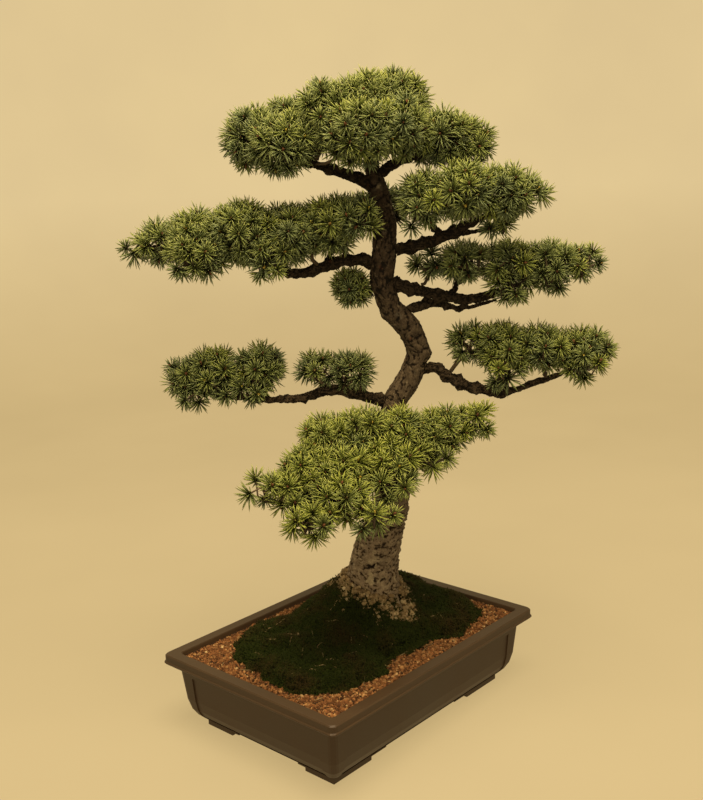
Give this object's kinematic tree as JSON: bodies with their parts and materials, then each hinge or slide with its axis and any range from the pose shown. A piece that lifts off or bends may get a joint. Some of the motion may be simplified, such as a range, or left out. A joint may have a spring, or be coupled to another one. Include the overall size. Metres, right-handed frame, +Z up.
{
  "type": "bonsai tree in a pot",
  "caption": "Cedar bonsai with a curved trunk and layered flat pads of short stiff needles, on a mossed mound in a low rectangular clay tray pot with a wide lip and corner feet.",
  "frame": {"origin": "on the resting plane, under the middle of the whole object's outline", "axes": "+Z up; +X along the pot's long side; +Y along its short side; the tree's best side faces the corner between -X and -Y"},
  "size_m": [0.449, 0.4796, 0.8],
  "materials": {
    "clay": "unglazed dark brown stoneware, smooth satin",
    "plastic_mesh": "black moulded plastic mesh",
    "soil": "dark loose soil",
    "granules": "loose fired clay granules, orange brown, matt",
    "moss": "short dense dark green moss",
    "bark": "rough cracked grey brown bark",
    "needles": "stiff grey green needles in tufts, slightly waxy"
  },
  "bodies": {
    "root": {"pot": "clay", "drain_screen_left": "plastic_mesh", "drain_screen_right": "plastic_mesh", "trunk": "bark", "branch_left_upper": "bark", "branch_right_upper": "bark", "branch_right_middle": "bark", "branch_right_middle_stub": "bark", "branch_right_lower": "bark", "branch_left_lower": "bark", "branch_front": "bark", "branch_rear_upper": "bark", "branch_rear_lower": "bark", "branch_crown_left": "bark", "branch_crown_right": "bark", "branch_trunk_tuft": "bark", "foliage_left_upper": "needles", "foliage_right_upper": "needles", "foliage_right_middle": "needles", "foliage_right_lower": "needles", "foliage_left_lower_tip": "needles", "foliage_left_lower_inner": "needles", "foliage_front": "needles", "foliage_rear_upper": "needles", "foliage_rear_lower": "needles", "foliage_crown_left": "needles", "foliage_crown_top": "needles", "foliage_crown_right": "needles", "foliage_trunk_tuft": "needles", "soil": "soil", "gravel": "granules", "moss": "moss"}
  },
  "joints": []
}
